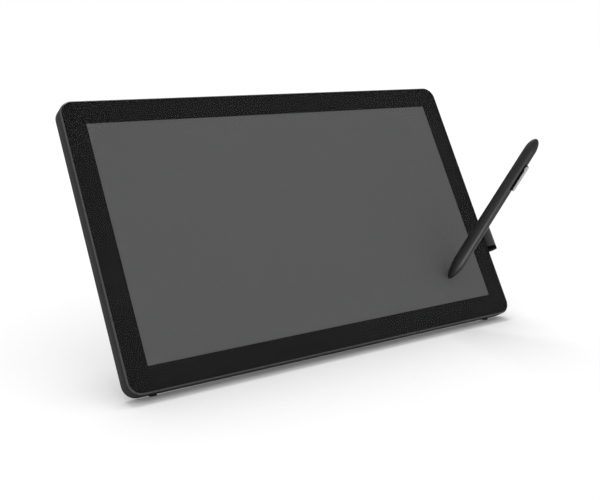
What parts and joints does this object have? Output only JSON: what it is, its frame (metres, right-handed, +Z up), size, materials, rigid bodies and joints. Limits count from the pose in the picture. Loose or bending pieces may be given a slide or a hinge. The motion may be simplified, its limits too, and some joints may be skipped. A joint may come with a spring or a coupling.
{
  "type": "graphics tablet with screen",
  "caption": "Leaning pen display with a flat glass front, a slim casing, a folding stand, a pen resting nib first on the glass and a tube for the pen.",
  "frame": {"origin": "on the desk, in the middle of the footprint of the display, its stand and the pen", "axes": "+X to the right along the screen, +Y away from the user, +Z up; the screen faces -Y and leans back"},
  "size_m": [0.6086, 0.2762, 0.3177],
  "materials": {
    "etched_glass": "etched matte",
    "black_print": "flat",
    "switched_off_panel": "matte",
    "casing_plastic": "fine grain",
    "back_plastic": "fine grain",
    "key_plastic": "satin",
    "holder_plastic": "satin",
    "foam_tape": "matte",
    "white_film": "satin",
    "clear_acrylic": "clear",
    "frame_plastic": "matte",
    "circuit_board": "solder mask",
    "flat_cable": "matte",
    "shield_metal": "tin plated",
    "chassis_steel": "galvanised",
    "screw_steel": "dark zinc",
    "hinge_steel": "bright zinc",
    "leg_metal": "powder coat",
    "foot_rubber": "matte",
    "washer_plastic": "waxy",
    "pen_plastic": "soft touch",
    "pen_dark": "matte",
    "nib_plastic": "matte",
    "clip_metal": "satin nickel",
    "ferrite": "sintered",
    "copper_wire": "enamelled"
  },
  "bodies": {
    "display": {"cover_glass": "etched_glass", "glass_border": "black_print", "glass_tape": "foam_tape", "front_frame": "casing_plastic", "lcd_panel": "switched_off_panel", "panel_holder": "frame_plastic", "optical_sheets": "white_film", "light_guide": "clear_acrylic", "reflector_sheet": "white_film", "led_strip": "circuit_board", "sensor_board": "circuit_board", "shield_plate": "shield_metal", "chassis_plate": "chassis_steel", "chassis_screws": "screw_steel", "rear_cover": "back_plastic", "cover_screws": "screw_steel", "lock_plate": "chassis_steel", "mount_posts": "hinge_steel", "bracket_posts": "chassis_steel", "main_board": "circuit_board", "board_screws": "screw_steel", "board_can": "shield_metal", "power_socket": "frame_plastic", "video_socket": "shield_metal", "usb_socket": "shield_metal", "panel_board": "circuit_board", "panel_ribbon": "flat_cable", "key_board": "circuit_board", "key_bracket": "frame_plastic", "pen_holder": "holder_plastic", "holder_base": "pen_dark", "holder_screws": "screw_steel", "front_feet": "foot_rubber", "left_hinge_bracket": "hinge_steel", "right_hinge_bracket": "hinge_steel", "bracket_screws": "screw_steel"},
    "leg": {"leg_frame": "leg_metal", "hinge_shafts": "hinge_steel", "friction_washers": "washer_plastic", "disc_springs": "screw_steel", "hinge_nuts": "hinge_steel", "lever_pin": "hinge_steel", "lever_spring": "screw_steel", "leg_feet": "foot_rubber"},
    "pen": {"pen_grip": "pen_plastic", "pen_barrel": "pen_plastic", "tail_cap": "pen_plastic", "clip_base": "pen_dark", "ferrite_core": "ferrite", "pen_coil": "copper_wire", "pressure_sensor": "pen_dark", "pen_board": "circuit_board"},
    "release_lever": {"release_lever": "key_plastic"},
    "minus_key": {"minus_key": "key_plastic"},
    "plus_key": {"plus_key": "key_plastic"},
    "menu_key": {"menu_key": "key_plastic"},
    "power_key": {"power_key": "key_plastic"},
    "nib": {"nib": "nib_plastic"},
    "side_switch": {"side_switch": "pen_dark"},
    "pocket_clip": {"pocket_clip": "clip_metal"}
  },
  "joints": [
    {"name": "leg_hinge", "type": "hinge", "parent": "display", "child": "leg", "pos_m": [-0.01175, 0.05929, 0.15689], "axis": [1, 0, 0], "range_deg": [-56, 94]},
    {"name": "lever_squeeze", "type": "hinge", "parent": "leg", "child": "release_lever", "pos_m": [-0.01175, 0.07523, 0.13174], "axis": [-1, 0, 0], "range_deg": [0, 5], "stiffness_Nm_per_rad": 1, "springref_deg": -5.73},
    {"name": "minus_press", "type": "slide", "parent": "display", "child": "minus_key", "axis": [0, -0.5053, -0.863], "range_m": [0, 0.0006], "stiffness_N_per_m": 1500, "springref_m": -0.0003},
    {"name": "plus_press", "type": "slide", "parent": "display", "child": "plus_key", "axis": [0, -0.5053, -0.863], "range_m": [0, 0.0006], "stiffness_N_per_m": 1500, "springref_m": -0.0003},
    {"name": "menu_press", "type": "slide", "parent": "display", "child": "menu_key", "axis": [0, -0.5053, -0.863], "range_m": [0, 0.0006], "stiffness_N_per_m": 1500, "springref_m": -0.0003},
    {"name": "power_press", "type": "slide", "parent": "display", "child": "power_key", "axis": [0, -0.5053, -0.863], "range_m": [0, 0.0006], "stiffness_N_per_m": 1500, "springref_m": -0.0003},
    {"name": "pen_lift", "type": "slide", "parent": "display", "child": "pen", "axis": [0.3135, -0.3671, 0.8758], "range_m": [0, 0.15]},
    {"name": "nib_press", "type": "slide", "parent": "pen", "child": "nib", "axis": [0.3135, -0.3671, 0.8758], "range_m": [0, 0.0008], "stiffness_N_per_m": 1500, "springref_m": -0.0003},
    {"name": "switch_rock", "type": "hinge", "parent": "pen", "child": "side_switch", "pos_m": [0.20776, -0.08298, 0.11894], "axis": [-0.9461, -0.2002, 0.2548], "range_deg": [-2.5, 2.5], "stiffness_Nm_per_rad": 0.6},
    {"name": "clip_flex", "type": "hinge", "parent": "pen", "child": "pocket_clip", "pos_m": [0.24539, -0.12935, 0.22226], "axis": [-0.9461, -0.2002, 0.2548], "range_deg": [0, 5], "stiffness_Nm_per_rad": 1.5, "springref_deg": -1.15}
  ]
}
